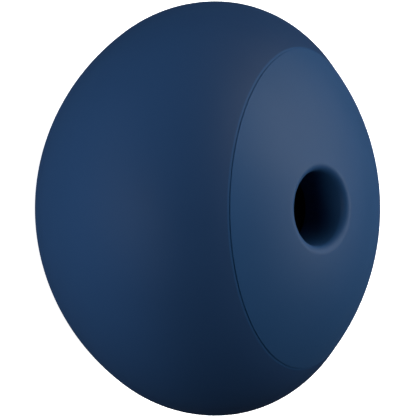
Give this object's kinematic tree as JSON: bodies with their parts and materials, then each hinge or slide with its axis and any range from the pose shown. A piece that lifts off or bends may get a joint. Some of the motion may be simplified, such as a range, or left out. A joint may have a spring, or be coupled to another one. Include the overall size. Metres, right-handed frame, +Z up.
{
  "type": "earbuds case",
  "caption": "Round hinged charging case for wireless earbuds, with a finger well in its domed lid, earbud pockets, contacts and a rear charging port.",
  "frame": {"origin": "centre of the foot's underside, on the axis of the round body", "axes": "+Z up along the body's axis, -Y towards the finger well at the front, hinge and charging port at +Y"},
  "size_m": [0.06, 0.0599, 0.0471],
  "materials": {
    "navy_soft_touch": "soft-touch matte",
    "black_gloss": "gloss",
    "black_matte": "fine moulded matte",
    "black_rubber": "matte",
    "silicone": "satin",
    "steel": "brushed",
    "nickel": "satin plated",
    "gold": "plated",
    "copper": "enamelled wire",
    "ferrite": "matte",
    "battery_pouch": "foil",
    "foam": "open cell",
    "circuit_board": "solder mask",
    "flex_film": "polyimide film",
    "clear_plastic": "clear"
  },
  "bodies": {
    "base": {"base_shell": "navy_soft_touch", "cradle_tray": "black_gloss", "port_bezel": "black_gloss", "chassis": "black_matte", "usb_tongue": "black_matte", "contact_block_left": "black_matte", "contact_block_right": "black_matte", "hall_sensor": "black_matte", "hinge_washer_left": "black_matte", "hinge_washer_right": "black_matte", "foot_pad": "black_rubber", "lid_gasket": "silicone", "hinge_base_leaf": "steel", "hinge_pin": "steel", "button_switch": "steel", "board_screw_front": "steel", "board_screw_rear": "steel", "port_screw_left": "steel", "port_screw_right": "steel", "hinge_base_screw_left": "steel", "hinge_base_screw_right": "steel", "tray_screw_front_right": "steel", "tray_screw_rear_right": "steel", "tray_screw_rear_left": "steel", "tray_screw_front_left": "steel", "contact_spring_left_front": "steel", "contact_spring_left_rear": "steel", "contact_spring_right_front": "steel", "contact_spring_right_rear": "steel", "usb_receptacle": "nickel", "bud_magnet_left": "nickel", "bud_magnet_right": "nickel", "base_magnet": "nickel", "charge_coil": "copper", "ferrite_sheet": "ferrite", "battery": "battery_pouch", "battery_foam": "foam", "main_board": "circuit_board", "port_board": "circuit_board", "flex_cable": "flex_film", "light_pipe": "clear_plastic", "status_led": "clear_plastic"},
    "lid": {"lid_shell": "navy_soft_touch", "lid_liner": "black_gloss", "lid_magnet": "nickel", "grip_insert": "black_rubber", "lid_pad_left": "silicone", "lid_pad_right": "silicone", "lid_screw_left": "steel", "lid_screw_right": "steel", "hinge_lid_leaf": "steel", "hinge_lid_screw_left": "steel", "hinge_lid_screw_right": "steel"},
    "button": {"pairing_button": "navy_soft_touch"},
    "contact_pin_left_front": {"contact_pin_left_front": "gold"},
    "contact_pin_left_rear": {"contact_pin_left_rear": "gold"},
    "contact_pin_right_front": {"contact_pin_right_front": "gold"},
    "contact_pin_right_rear": {"contact_pin_right_rear": "gold"}
  },
  "joints": [
    {"name": "lid_hinge", "type": "hinge", "parent": "base", "child": "lid", "pos_m": [0, 0.0226, 0.0374], "axis": [-1, 0, 0], "range_deg": [0, 100]},
    {"name": "button_press", "type": "slide", "parent": "base", "child": "button", "axis": [0, 1, 0], "range_m": [-0.0004, 0], "stiffness_N_per_m": 800, "springref_m": 0.0004},
    {"name": "contact_left_front_press", "type": "slide", "parent": "base", "child": "contact_pin_left_front", "axis": [0, 0, 1], "range_m": [-0.0008, 0], "stiffness_N_per_m": 150, "springref_m": 0.0006, "deforming": ["contact_spring_left_front"]},
    {"name": "contact_left_rear_press", "type": "slide", "parent": "base", "child": "contact_pin_left_rear", "axis": [0, 0, 1], "range_m": [-0.0008, 0], "stiffness_N_per_m": 150, "springref_m": 0.0006, "deforming": ["contact_spring_left_rear"]},
    {"name": "contact_right_front_press", "type": "slide", "parent": "base", "child": "contact_pin_right_front", "axis": [0, 0, 1], "range_m": [-0.0008, 0], "stiffness_N_per_m": 150, "springref_m": 0.0006, "deforming": ["contact_spring_right_front"]},
    {"name": "contact_right_rear_press", "type": "slide", "parent": "base", "child": "contact_pin_right_rear", "axis": [0, 0, 1], "range_m": [-0.0008, 0], "stiffness_N_per_m": 150, "springref_m": 0.0006, "deforming": ["contact_spring_right_rear"]}
  ]
}
